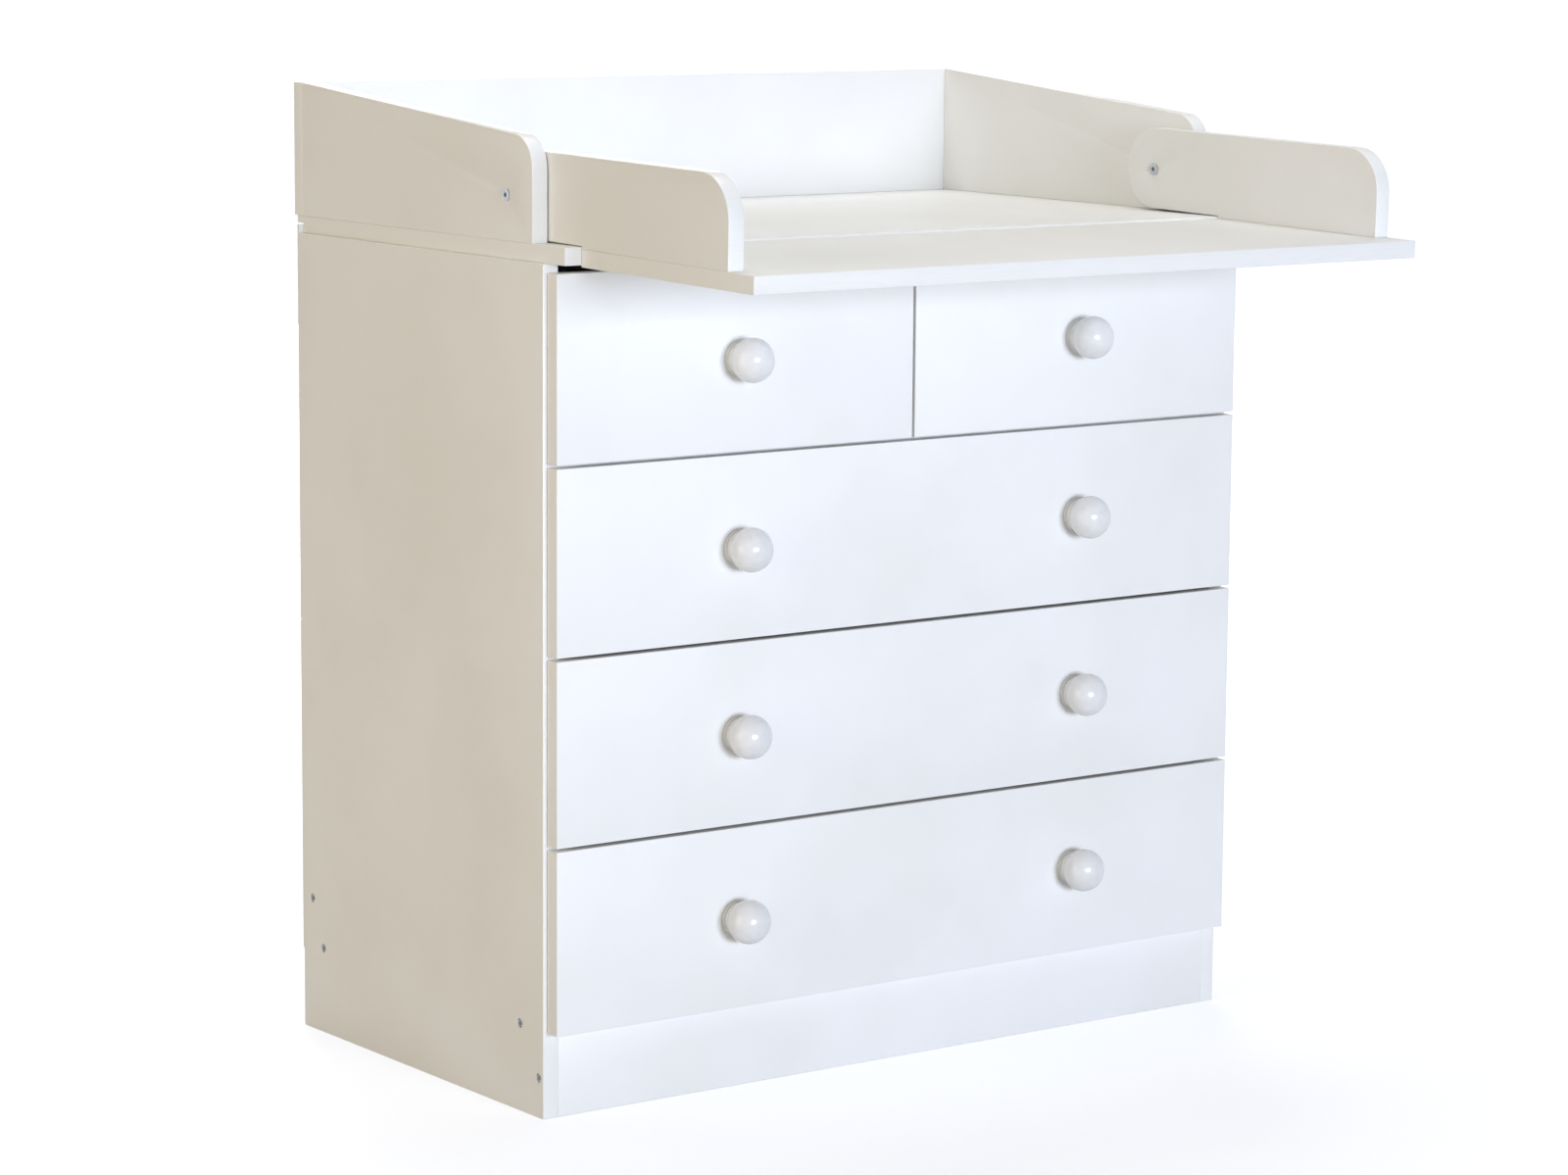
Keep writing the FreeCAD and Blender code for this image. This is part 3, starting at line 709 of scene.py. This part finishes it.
def aimCamera():
    yaw, pitch, roll = (math.radians(shot[key]) for key in ("yaw", "pitch", "roll"))
    ahead = Vector((math.sin(yaw) * math.cos(pitch), math.cos(yaw) * math.cos(pitch), math.sin(pitch)))
    level = Vector((math.cos(yaw), -math.sin(yaw), 0))
    upright = level.cross(ahead)
    right = level * math.cos(roll) + upright * math.sin(roll)
    up = upright * math.cos(roll) - level * math.sin(roll)
    cameraData = bpy.data.cameras.new("camera")
    cameraData.sensor_width, cameraData.lens = shot["sensor"], shot["lens"]
    cameraData.clip_start, cameraData.clip_end = shot["clip"]
    camera = bpy.data.objects.new("camera", cameraData)
    bpy.context.scene.collection.objects.link(camera)
    camera.matrix_world = Matrix.Translation(shot["place"]) @ Matrix((right, up, -ahead)).transposed().to_4x4()
    bpy.context.scene.camera = camera


room = {"air": "#D8CBB0", "airStrength": 0.2, "paper": "#FFFFFF", "aim": (0, 0, 0.45)}
lamps = {"key": {"colour": "#E0E9FD", "power": 1200, "size": (4.4, 3.2), "place": (-0.4, -11.2, 1.2)},
         "roof": {"colour": "#F6F7F8", "power": 48, "size": (2.2, 1.4), "place": (0.1, 0.5, 3.4)},
         "window": {"colour": "#FFEFD6", "power": 60, "size": (2.6, 2.6), "place": (-4.25, -0.4, 1.35)},
         "rear": {"colour": "#F8F8FF", "power": 300, "size": (4.0, 1.8), "place": (3.2, 6.5, 1.0)}}


def addLamp(name):
    facts = lamps[name]
    data = bpy.data.lights.new(name, "AREA")
    data.shape, data.size, data.size_y = "RECTANGLE", *facts["size"]
    data.energy, data.color = facts["power"], hexColour(facts["colour"])[:3]
    light = bpy.data.objects.new(name, data)
    bpy.context.scene.collection.objects.link(light)
    light.location = facts["place"]
    light.visible_camera = False
    light.rotation_euler = (Vector(room["aim"]) - Vector(facts["place"])).to_track_quat("-Z", "Y").to_euler()


def seenDirectly(tree):                                 # 1 where the camera, a gloss or a glass sees it
    rays = addNode(tree, "ShaderNodeLightPath")
    first = addNode(tree, "ShaderNodeMath",
                    links={0: rays.outputs["Is Camera Ray"], 1: rays.outputs["Is Glossy Ray"]},
                    operation="MAXIMUM")
    return addNode(tree, "ShaderNodeMath", links={0: first.outputs[0], 1: rays.outputs["Is Transmission Ray"]},
                   operation="MAXIMUM").outputs[0]


def lightRoom():
    world = bpy.data.worlds.new("studio")
    bpy.context.scene.world = world
    world.use_nodes = True
    tree = world.node_tree
    tree.nodes.clear()
    air = addNode(tree, "ShaderNodeBackground",
                  {"Color": hexColour(room["air"]), "Strength": room["airStrength"]})
    paper = addNode(tree, "ShaderNodeBackground", {"Color": hexColour(room["paper"]), "Strength": 1.0})
    mixed = addNode(tree, "ShaderNodeMixShader",
                    links={0: seenDirectly(tree), 1: air.outputs[0], 2: paper.outputs[0]})
    addNode(tree, "ShaderNodeOutputWorld", links={"Surface": mixed.outputs[0]})
    for name in lamps:
        addLamp(name)


# A pale floor that the camera sees as white: its glow rises from near to far, so that the shadow shows
# round the chest. It lies a hair below the feet.
floorLook = {"size": 140, "below": mm(0.2), "grain": 400, "pale": "#C6C6C4", "paler": "#CACAC8",
             "glow": "#F4F7FF", "near": 0.75, "nearGlow": 0.66, "far": 1.9, "farGlow": 0.98}


def layFloor():
    pickNone()
    bpy.ops.mesh.primitive_plane_add(size=floorLook["size"], location=(0, 0, -floorLook["below"]))
    floor = bpy.context.object
    floor.name = "floor"
    material, tree, place = startMaterial("paleFloorPainted")
    grain = addNode(tree, "ShaderNodeTexNoise", {"Scale": perMetre(floorLook["grain"]), "Detail": 2.0},
                    {"Vector": place})
    colour = addNode(tree, "ShaderNodeValToRGB", links={"Fac": grain.outputs["Fac"]},
                     stops=[(0.3, floorLook["pale"]), (0.7, floorLook["paler"])]).outputs["Color"]
    reach = addNode(tree, "ShaderNodeVectorMath", links={0: place}, operation="LENGTH")
    glow = addNode(tree, "ShaderNodeMapRange",
                   {"From Min": floorLook["near"], "From Max": floorLook["far"],
                    "To Min": floorLook["nearGlow"], "To Max": floorLook["farGlow"]},
                   {"Value": reach.outputs["Value"]}, interpolation_type="SMOOTHSTEP")
    seen = addNode(tree, "ShaderNodeMath", links={0: seenDirectly(tree), 1: glow.outputs[0]},
                   operation="MULTIPLY")
    endMaterial(tree, addNode(tree, "ShaderNodeBsdfPrincipled",
                              {"Roughness": 0.9, "Emission Color": hexColour(floorLook["glow"])},
                              {"Base Color": colour, "Emission Strength": seen.outputs[0]}))
    floor.data.materials.append(material)
    floor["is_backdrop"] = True


aimCamera()
lightRoom()
layFloor()
for pattern in (confirmatHead, knob, truss, pan, cam, nail):
    bpy.data.objects.remove(pattern)
bpy.context.scene.view_settings.view_transform = "Standard"
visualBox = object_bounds()
for label, box in (("cad box", cadBox), ("visual box", visualBox)):
    print(label, [tuple(round(value, 4) for value in corner) for corner in box])
